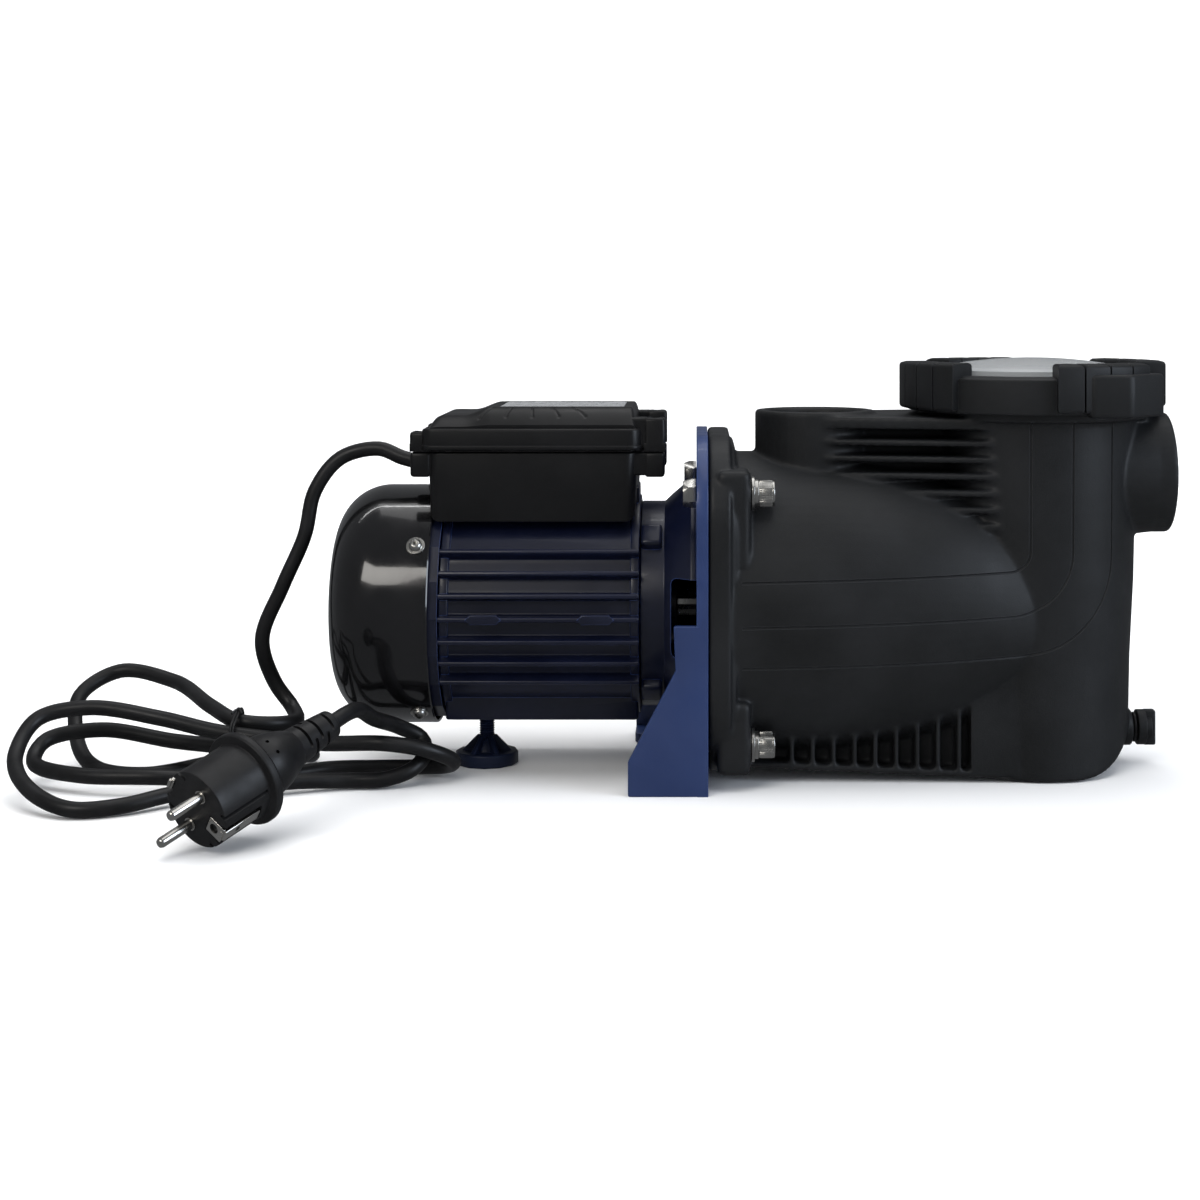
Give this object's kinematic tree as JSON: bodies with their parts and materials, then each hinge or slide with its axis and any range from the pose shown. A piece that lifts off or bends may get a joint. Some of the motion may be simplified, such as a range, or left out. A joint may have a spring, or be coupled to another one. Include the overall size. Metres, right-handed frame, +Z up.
{
  "type": "pool pump",
  "caption": "Self-priming pool pump: finned electric motor with terminal box, cord and plug, bolted to a ribbed housing with two pipe ports and a strainer pot under a clear lid.",
  "frame": {"origin": "on the floor below the shaft axis, halfway through the thickness of the mounting bracket", "axes": "+X along the shaft from the motor to the strainer pot, +Z up, +Y to the far side from the one the plug lies on"},
  "size_m": [0.5896, 0.2789, 0.2146],
  "materials": {
    "pump_plastic": "fine-grained moulded black plastic",
    "satin_plastic": "satin moulded black plastic",
    "lens": "clear grey plastic",
    "black_paint": "gloss black enamel",
    "navy_paint": "gloss dark navy enamel",
    "bracket_paint": "semi-gloss blue powder coat",
    "foot_plastic": "dark navy moulded plastic",
    "stainless": "turned stainless steel",
    "iron": "laminated electrical steel",
    "copper": "varnished copper wire",
    "rubber": "black rubber",
    "ceramic": "fine ground ceramic"
  },
  "bodies": {
    "pump": {"pump_housing": "pump_plastic", "seal_plate": "pump_plastic", "diffuser": "pump_plastic", "seal_plate_o_ring": "rubber", "terminal_box_gasket": "rubber", "power_cord": "rubber", "cord_tie": "rubber", "plug_body": "rubber", "shaft_seal_seat": "ceramic", "terminal_block": "ceramic", "mounting_bracket": "bracket_paint", "front_end_bracket": "navy_paint", "motor_frame": "navy_paint", "rear_end_shield": "navy_paint", "fan_cover": "black_paint", "capacitor": "black_paint", "front_bearing": "stainless", "rear_bearing": "stainless", "plug_pin_1": "stainless", "plug_pin_2": "stainless", "plug_earth_clip_1": "stainless", "plug_earth_clip_2": "stainless", "flange_bolt_1": "stainless", "flange_bolt_2": "stainless", "flange_bolt_3": "stainless", "flange_bolt_4": "stainless", "flange_nut_1": "stainless", "flange_nut_2": "stainless", "flange_nut_3": "stainless", "flange_nut_4": "stainless", "fan_cover_screw_1": "stainless", "fan_cover_screw_2": "stainless", "fan_cover_screw_3": "stainless", "fan_cover_screw_4": "stainless", "terminal_box_screw_1": "stainless", "terminal_box_screw_2": "stainless", "terminal_box_screw_3": "stainless", "terminal_box_screw_4": "stainless", "stator_core": "iron", "stator_windings": "copper", "terminal_box_base": "satin_plastic", "terminal_box_lid": "satin_plastic", "cable_gland": "satin_plastic"},
    "rotor": {"motor_shaft": "stainless", "rotor_core": "iron", "cooling_fan": "pump_plastic", "impeller": "pump_plastic", "shaft_seal_rotary": "rubber"},
    "lid": {"lid_lens": "lens", "lid_o_ring": "rubber"},
    "lid_ring": {"lid_locking_ring": "pump_plastic"},
    "basket": {"strainer_basket": "pump_plastic"},
    "drain_washer": {"drain_plug_o_ring": "rubber"},
    "drain_screw": {"drain_plug": "pump_plastic"},
    "foot_nut": {"foot_lock_nut": "stainless"},
    "foot": {"adjustable_foot": "foot_plastic"}
  },
  "joints": [
    {"name": "shaft_spin", "type": "hinge", "parent": "pump", "child": "rotor", "pos_m": [0, 0, 0.085], "axis": [1, 0, 0], "continuous": true},
    {"name": "lid_lift", "type": "slide", "parent": "pump", "child": "lid", "axis": [0, 0, 1], "range_m": [0, 0.24]},
    {"name": "lid_ring_turn", "type": "hinge", "parent": "lid", "child": "lid_ring", "pos_m": [0.1752, 0, 0.2], "axis": [0, 0, 1], "range_deg": [0, 90]},
    {"name": "basket_lift", "type": "slide", "parent": "pump", "child": "basket", "axis": [0, 0, 1], "range_m": [0, 0.18]},
    {"name": "drain_plug_travel", "type": "slide", "parent": "pump", "child": "drain_washer", "axis": [1, 0, 0], "range_m": [0, 0.0161]},
    {"name": "drain_plug_turn", "type": "hinge", "parent": "drain_washer", "child": "drain_screw", "pos_m": [0.2232, 0, 0.019], "axis": [1, 0, 0], "range_deg": [0, 2880]},
    {"name": "foot_travel", "type": "slide", "parent": "pump", "child": "foot_nut", "axis": [0, 0, 1], "range_m": [-0.0051, 0]},
    {"name": "foot_turn", "type": "hinge", "parent": "foot_nut", "child": "foot", "pos_m": [-0.1138, 0, 0.01], "axis": [0, 0, 1], "range_deg": [-1440, 0]}
  ],
  "couplings": [
    {"joint": "basket_lift", "follows": "lid_lift", "ratio": 0.7},
    {"joint": "drain_plug_travel", "follows": "drain_plug_turn", "m_per_rad": 0.00031831},
    {"joint": "foot_travel", "follows": "foot_turn", "m_per_rad": 0.00019894}
  ]
}
